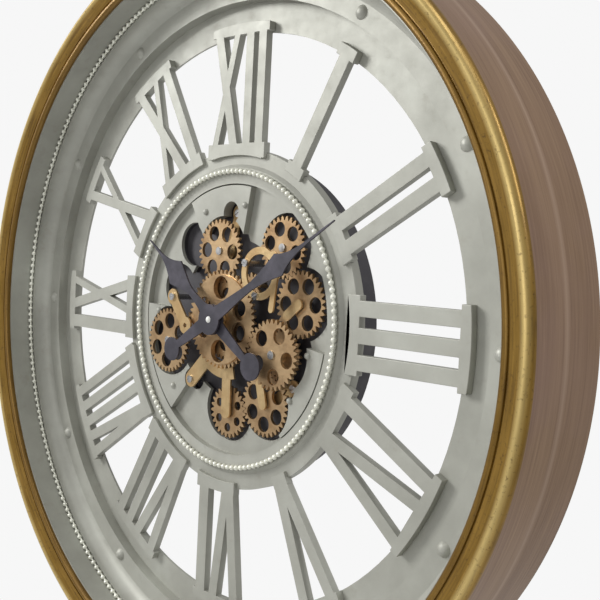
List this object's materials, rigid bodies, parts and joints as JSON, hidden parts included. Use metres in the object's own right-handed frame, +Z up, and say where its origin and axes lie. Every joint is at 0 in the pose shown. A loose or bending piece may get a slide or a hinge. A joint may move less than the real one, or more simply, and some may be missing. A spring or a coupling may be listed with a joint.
{
  "type": "skeleton wall clock",
  "caption": "Round open-dial wall clock with a deep drum case, cut-out Roman numerals, beaded rings, leaf hands and a turning gear train in a flower-shaped opening.",
  "frame": {"origin": "middle of the wall plane, at the centre of the back face of the movement drum, on the axis of the hands", "axes": "+Z up with twelve at the top, +X to the right as the dial is read, -Y out of the dial towards the viewer, +Y into the wall"},
  "size_m": [0.6, 0.077, 0.6],
  "materials": {
    "case_brown": "aged bronze-brown paint, fine streaks round the circumference",
    "bezel_gold": "antique gold leaf paint, rubbed on the crest",
    "dial_silver": "champagne silver paint, satin",
    "charcoal_paint": "satin charcoal paint",
    "hand_black": "satin charcoal black",
    "gear_brass": "satin gold plate",
    "cock_brass": "satin gold plate",
    "bright_steel": "bright",
    "cap_white": "white",
    "black_plastic": "black",
    "cell_wrap": "plain dark wrap",
    "hanger_steel": "zinc plated"
  },
  "bodies": {
    "case": {"aa_cells": "cell_wrap", "battery_box": "black_plastic", "bezel_ring": "bezel_gold", "case_hoop": "case_brown", "centre_plate": "dial_silver", "centre_ring": "dial_silver", "chapter_ring": "dial_silver", "clock_movement": "black_plastic", "cock_pillars": "bright_steel", "cock_screws": "bright_steel", "dial_nut": "cock_brass", "dial_surround": "dial_silver", "dome_rivets": "dial_silver", "drum_back_cover": "charcoal_paint", "gear_arbors": "bright_steel", "gear_motor": "bright_steel", "gear_well": "charcoal_paint", "hanger_bracket": "hanger_steel", "inner_bead_ring": "dial_silver", "left_cock": "cock_brass", "lower_cock": "cock_brass", "lower_right_cock": "cock_brass", "movement_drum": "charcoal_paint", "numeral_1": "dial_silver", "numeral_10": "dial_silver", "numeral_11": "dial_silver", "numeral_12": "dial_silver", "numeral_2": "dial_silver", "numeral_3": "dial_silver", "numeral_4": "dial_silver", "numeral_5": "dial_silver", "numeral_6": "dial_silver", "numeral_7": "dial_silver", "numeral_8": "dial_silver", "numeral_9": "dial_silver", "outer_bead_ring": "dial_silver", "plate_studs": "dial_silver", "ring_cock": "cock_brass", "small_cocks": "cock_brass", "surround_wall": "dial_silver", "upper_cock": "cock_brass"},
    "centre_wheels": {"centre_wheel": "gear_brass", "centre_rear_wheel": "gear_brass"},
    "upper_gear": {"upper_gear": "gear_brass"},
    "left_idler": {"left_idler": "gear_brass"},
    "left_gear": {"left_gear": "gear_brass"},
    "motor_pinion": {"motor_pinion": "gear_brass"},
    "lower_right_gear": {"lower_right_gear": "gear_brass"},
    "right_gear": {"right_gear": "gear_brass"},
    "upper_right_gear": {"upper_right_gear": "gear_brass"},
    "bottom_right_gear": {"bottom_right_gear": "gear_brass"},
    "bottom_gear": {"bottom_gear": "gear_brass"},
    "hour_hand": {"hour_hand": "hand_black", "hour_tube": "bright_steel"},
    "minute_hand": {"minute_hand": "hand_black", "minute_shaft": "bright_steel", "hand_cap": "cap_white"},
    "set_knob": {"set_knob": "black_plastic"},
    "battery_door": {"battery_door": "black_plastic"},
    "gear_switch": {"gear_switch": "black_plastic"}
  },
  "joints": [
    {"name": "centre_wheel_spin", "type": "hinge", "parent": "case", "child": "centre_wheels", "pos_m": [0, -0.0325, 0], "axis": [0, -1, 0], "continuous": true},
    {"name": "upper_gear_spin", "type": "hinge", "parent": "case", "child": "upper_gear", "pos_m": [-0.01148, -0.0325, 0.05353], "axis": [0, -1, 0], "continuous": true},
    {"name": "left_idler_spin", "type": "hinge", "parent": "case", "child": "left_idler", "pos_m": [-0.04042, -0.0325, -0.00822], "axis": [0, -1, 0], "continuous": true},
    {"name": "left_gear_spin", "type": "hinge", "parent": "case", "child": "left_gear", "pos_m": [-0.07297, -0.0325, -0.02361], "axis": [0, -1, 0], "continuous": true},
    {"name": "motor_pinion_spin", "type": "hinge", "parent": "case", "child": "motor_pinion", "pos_m": [0.02811, -0.0325, 0.02811], "axis": [0, -1, 0], "continuous": true},
    {"name": "lower_right_gear_spin", "type": "hinge", "parent": "case", "child": "lower_right_gear", "pos_m": [0.05912, -0.0275, -0.02175], "axis": [0, -1, 0], "continuous": true},
    {"name": "right_gear_spin", "type": "hinge", "parent": "case", "child": "right_gear", "pos_m": [0.07692, -0.0275, 0.01712], "axis": [0, -1, 0], "continuous": true},
    {"name": "upper_right_gear_spin", "type": "hinge", "parent": "case", "child": "upper_right_gear", "pos_m": [0.05538, -0.0275, 0.05833], "axis": [0, -1, 0], "continuous": true},
    {"name": "bottom_right_gear_spin", "type": "hinge", "parent": "case", "child": "bottom_right_gear", "pos_m": [0.0438, -0.0275, -0.06166], "axis": [0, -1, 0], "continuous": true},
    {"name": "bottom_gear_spin", "type": "hinge", "parent": "case", "child": "bottom_gear", "pos_m": [0.00199, -0.0275, -0.07365], "axis": [0, -1, 0], "continuous": true},
    {"name": "minute_hand_turn", "type": "hinge", "parent": "case", "child": "minute_hand", "pos_m": [0, -0.0516, 0], "axis": [0, -1, 0], "continuous": true},
    {"name": "hour_hand_turn", "type": "hinge", "parent": "case", "child": "hour_hand", "pos_m": [0, -0.0476, 0], "axis": [0, -1, 0], "continuous": true},
    {"name": "set_knob_turn", "type": "hinge", "parent": "case", "child": "set_knob", "pos_m": [-0.014, -0.0004, 0.004], "axis": [0, -1, 0], "continuous": true},
    {"name": "battery_door_lift", "type": "slide", "parent": "case", "child": "battery_door", "axis": [0, 1, 0], "range_m": [0, 0.02]},
    {"name": "gear_switch_slide", "type": "slide", "parent": "case", "child": "gear_switch", "axis": [1, 0, 0], "range_m": [0, 0.004]}
  ],
  "couplings": [
    {"joint": "upper_gear_spin", "follows": "centre_wheel_spin", "ratio": -1.2812},
    {"joint": "left_idler_spin", "follows": "centre_wheel_spin", "ratio": -2.9286},
    {"joint": "left_gear_spin", "follows": "centre_wheel_spin", "ratio": 1.2059},
    {"joint": "lower_right_gear_spin", "follows": "centre_wheel_spin", "ratio": -1.4706},
    {"joint": "right_gear_spin", "follows": "centre_wheel_spin", "ratio": 1.1489},
    {"joint": "upper_right_gear_spin", "follows": "centre_wheel_spin", "ratio": -1.2255},
    {"joint": "bottom_right_gear_spin", "follows": "centre_wheel_spin", "ratio": 1.1489},
    {"joint": "bottom_gear_spin", "follows": "centre_wheel_spin", "ratio": -1.414},
    {"joint": "motor_pinion_spin", "follows": "centre_wheel_spin", "ratio": -3.4167},
    {"joint": "hour_hand_turn", "follows": "minute_hand_turn", "ratio": 0.083333},
    {"joint": "set_knob_turn", "follows": "minute_hand_turn", "ratio": -3}
  ]
}
